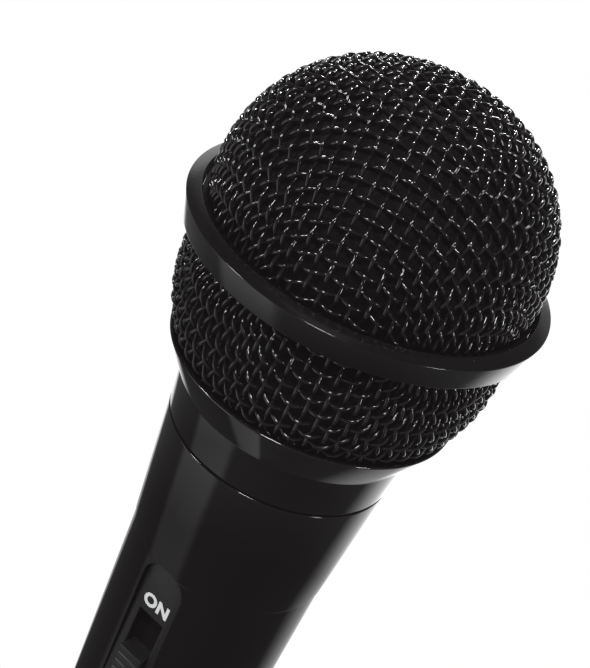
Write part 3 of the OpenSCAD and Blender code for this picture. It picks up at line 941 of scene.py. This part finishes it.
def build_legends():
    """ON and OFF printed on the plate, read with the head up."""
    low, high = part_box("switch_plate")
    middle = (low.z + high.z) / 2
    upright = Matrix.Rotation(math.pi / 2, 4, "X")
    for word, side in (("ON", 1), ("OFF", -1)):
        mesh = lettering(word)
        mesh.transform(Matrix.Translation((0, low.y, middle + side * LEGEND_OFFSET)) @ upright)
        mesh.materials.clear()
        mesh.materials.append(legend_ink_and_painted_glow)
        piece = bpy.data.objects.new("legend_" + word.lower(), mesh)
        bpy.context.scene.collection.objects.link(piece)
        place(piece, "handle", "white_plastic")


# ---------------------------------------------------------------- stage, light and camera

CAMERA_AZIMUTH = math.radians(24.9)     # turned from -Y towards +X
CAMERA_AWAY = 196.42 * MM               # distance from the axis
CAMERA_HEIGHT = 241.54 * MM
CAMERA_DOWN = math.radians(30.95)       # how far the camera looks down
CAMERA_ASIDE = math.radians(1.31)       # how far it looks past the axis
CAMERA_ROLL = math.radians(24.88)
LENS = 86.23                            # millimetres on a 36 mm sensor

# Brightness of what the object reflects: (degrees from the camera's side of the microphone, brightness)
FLOOR_GLOW = [
    (-180, 2.8), (-164, 1.3), (-150, 1.3), (-143, 0.12), (-86, 0.10), (-80, 0.50), (-40, 0.80),
    (-33, 0.17), (35, 0.11), (102, 0.12), (124, 1.20), (156, 1.8), (180, 2.8),
]
SKY_GLOW = [
    (-180, 1.0), (-155, 1.0), (-146, 0.15), (40, 0.15), (120, 0.2), (160, 0.3), (166, 1.0), (180, 1.0),
]
FLOOR_STRENGTH = 1.5
FOOT_SHADE = 0.25                       # brightness of the floor at the microphone's foot over the rest
FOOT_NEAR = 110 * MM                    # distance at which that shade starts to clear
FOOT_FAR = 185 * MM                     # distance at which it is gone
OVERHEAD = 0.28                         # brightness of the sky overhead over that near the horizon
OVERHEAD_FROM = math.radians(16)        # height at which the sky starts to dim
OVERHEAD_TO = math.radians(23)          # height at which it has dimmed
FLOOR_HALF = 6.0                        # metres from the middle of the floor to its edge
LENS_HAZE = (-0.0058, -0.0048, -0.0052)     # lifts the darkest tones a little
LAMP_AWAY = 0.7                         # metres from the head to each lamp
# name, azimuth from the camera's side, elevation, size in metres, brightness
LAMPS = [
    ("front_lamp", -8, 58, 0.12, 56.0),
    ("left_lamp", -66, 28, 0.11, 46.0),
    ("right_lamp", 62, 18, 0.10, 38.0),
    ("back_lamp", -165, 44, 0.09, 150.0),
    ("low_back_lamp", -176, 5, 0.07, 90.0),
]


def place_camera():
    """A camera above the grille, looking down, rolled so that the handle runs to the lower left."""
    axis = Vector((0, 0, 1))
    out = Vector((math.sin(CAMERA_AZIMUTH), -math.cos(CAMERA_AZIMUTH), 0))
    aside = Vector((math.cos(CAMERA_AZIMUTH), math.sin(CAMERA_AZIMUTH), 0))
    level = -out * math.cos(CAMERA_ASIDE) - aside * math.sin(CAMERA_ASIDE)
    forward = level * math.cos(CAMERA_DOWN) - axis * math.sin(CAMERA_DOWN)
    level_right = forward.cross(axis).normalized()
    level_up = level_right.cross(forward)
    right = level_right * math.cos(CAMERA_ROLL) + level_up * math.sin(CAMERA_ROLL)
    up = right.cross(forward)
    camera = bpy.data.objects.new("camera", bpy.data.cameras.new("camera"))
    bpy.context.scene.collection.objects.link(camera)
    camera.data.lens = LENS
    camera.data.clip_start = 10 * MM
    columns = Matrix((right, up, -forward)).transposed()
    spot = out * CAMERA_AWAY + axis * CAMERA_HEIGHT
    camera.matrix_world = Matrix.Translation(spot) @ columns.to_4x4()
    bpy.context.scene.camera = camera


def from_camera_side(azimuth, elevation):
    """Unit vector by degrees round from the camera's side of the microphone and above the horizon."""
    turn = CAMERA_AZIMUTH + math.radians(azimuth)
    rise = math.radians(elevation)
    return Vector((math.sin(turn) * math.cos(rise), -math.cos(turn) * math.cos(rise), math.sin(rise)))


def add_lamp(name, azimuth, elevation, size, brightness):
    """A square lamp that faces the head, brightness times as bright as white paper in full light."""
    lamp = bpy.data.lights.new(name, "AREA")
    lamp.shape = "SQUARE"
    lamp.size = size
    lamp.energy = brightness * math.pi * size ** 2
    light = bpy.data.objects.new(name, lamp)
    bpy.context.scene.collection.objects.link(light)
    direction = from_camera_side(azimuth, elevation)
    light.location = Vector((0, 0, bottom("grille_band"))) + direction * LAMP_AWAY
    light.rotation_euler = direction.to_track_quat("Z", "Y").to_euler()
    light.visible_camera = False


def studio_glow(tree, stops, vector):
    """Brightness by direction about the axis, from stops of (degrees from the camera's side, brightness)."""
    turn = tree.nodes.new("ShaderNodeVectorRotate")
    turn.rotation_type = "Z_AXIS"
    # After this turn, +X points from the axis to the camera
    turn.inputs["Angle"].default_value = math.pi / 2 - CAMERA_AZIMUTH
    split = tree.nodes.new("ShaderNodeSeparateXYZ")
    ramp = tree.nodes.new("ShaderNodeValToRGB")
    tree.links.new(vector, turn.inputs["Vector"])
    tree.links.new(turn.outputs["Vector"], split.inputs["Vector"])
    angle = math_node(tree, "ARCTAN2", split.outputs["Y"], split.outputs["X"])
    tree.links.new(remapped(tree, angle, (-math.pi, math.pi), (0, 1)), ramp.inputs["Fac"])
    elements = ramp.color_ramp.elements
    while len(elements) < len(stops):
        elements.new(0.5)
    for element, (degrees, brightness) in zip(elements, stops):
        element.position = degrees / 360 + 0.5
        element.color = (brightness, brightness, brightness, 1)
    return ramp.outputs["Color"]


def fade_with_height(tree, value, direction):
    """Keeps a sky brightness near the horizon and dims it overhead."""
    split = tree.nodes.new("ShaderNodeSeparateXYZ")
    tree.links.new(direction, split.inputs["Vector"])
    heights = (math.sin(OVERHEAD_FROM), math.sin(OVERHEAD_TO))
    fade = remapped(tree, split.outputs["Z"], heights, (1, OVERHEAD))
    return math_node(tree, "MULTIPLY", value, fade)


def fade_near_foot(tree, value, position):
    """Dims the floor's brightness close to the microphone, where the microphone shades it."""
    away = tree.nodes.new("ShaderNodeVectorMath")
    away.operation = "LENGTH"
    tree.links.new(position, away.inputs[0])
    fade = remapped(tree, away.outputs["Value"], (FOOT_NEAR, FOOT_FAR), (FOOT_SHADE, 1))
    return math_node(tree, "MULTIPLY", value, fade)


def white_but_reflecting(tree, reflected):
    """White where the camera sees it, and another brightness where the object reflects it."""
    path = tree.nodes.new("ShaderNodeLightPath")
    pick = tree.nodes.new("ShaderNodeMix")
    pick.inputs["B"].default_value = 1.0
    tree.links.new(path.outputs["Is Camera Ray"], pick.inputs["Factor"])
    tree.links.new(reflected, pick.inputs["A"])
    return pick.outputs["Result"]


def build_floor():
    """A pale floor that is lit from within, so that it takes no shadow."""
    material = bpy.data.materials.new("pale_floor")
    material.use_nodes = True
    tree = material.node_tree
    tree.nodes.remove(tree.nodes["Principled BSDF"])
    where = tree.nodes.new("ShaderNodeTexCoord").outputs["Object"]
    around = math_node(tree, "MULTIPLY", studio_glow(tree, FLOOR_GLOW, where), FLOOR_STRENGTH)
    glow = fade_near_foot(tree, around, where)
    emission = tree.nodes.new("ShaderNodeEmission")
    tree.links.new(white_but_reflecting(tree, glow), emission.inputs["Strength"])
    tree.links.new(emission.outputs["Emission"], tree.nodes["Material Output"].inputs["Surface"])
    corners = [(x * FLOOR_HALF, y * FLOOR_HALF, 0) for x, y in ((-1, -1), (1, -1), (1, 1), (-1, 1))]
    floor = make_object("floor", corners, [(0, 1, 2, 3)], material, smooth=False)
    floor.location.z = -0.5 * MM


def build_walls():
    """Studio walls: white behind the microphone, darker on the camera's side."""
    world = bpy.data.worlds.new("studio")
    bpy.context.scene.world = world
    world.use_nodes = True
    tree = world.node_tree
    where = tree.nodes.new("ShaderNodeTexCoord").outputs["Generated"]
    glow = fade_with_height(tree, studio_glow(tree, SKY_GLOW, where), where)
    background = tree.nodes["Background"]
    tree.links.new(white_but_reflecting(tree, glow), background.inputs["Strength"])
    background.inputs["Color"].default_value = (1, 1, 1, 1)


def set_exposure():
    """Plain tones, with the darkest lifted as a lens does against a white background."""
    view = bpy.context.scene.view_settings
    view.view_transform = "Standard"
    view.use_curve_mapping = True
    view.curve_mapping.black_level = LENS_HAZE
    view.curve_mapping.update()


dress_cad_nodes()
build_mesh()
build_foam()
build_guard_band()
build_collar()
build_handle()
build_fittings()
build_legends()
build_floor()
build_walls()
for lamp_sizes in LAMPS:
    add_lamp(*lamp_sizes)
set_exposure()
place_camera()
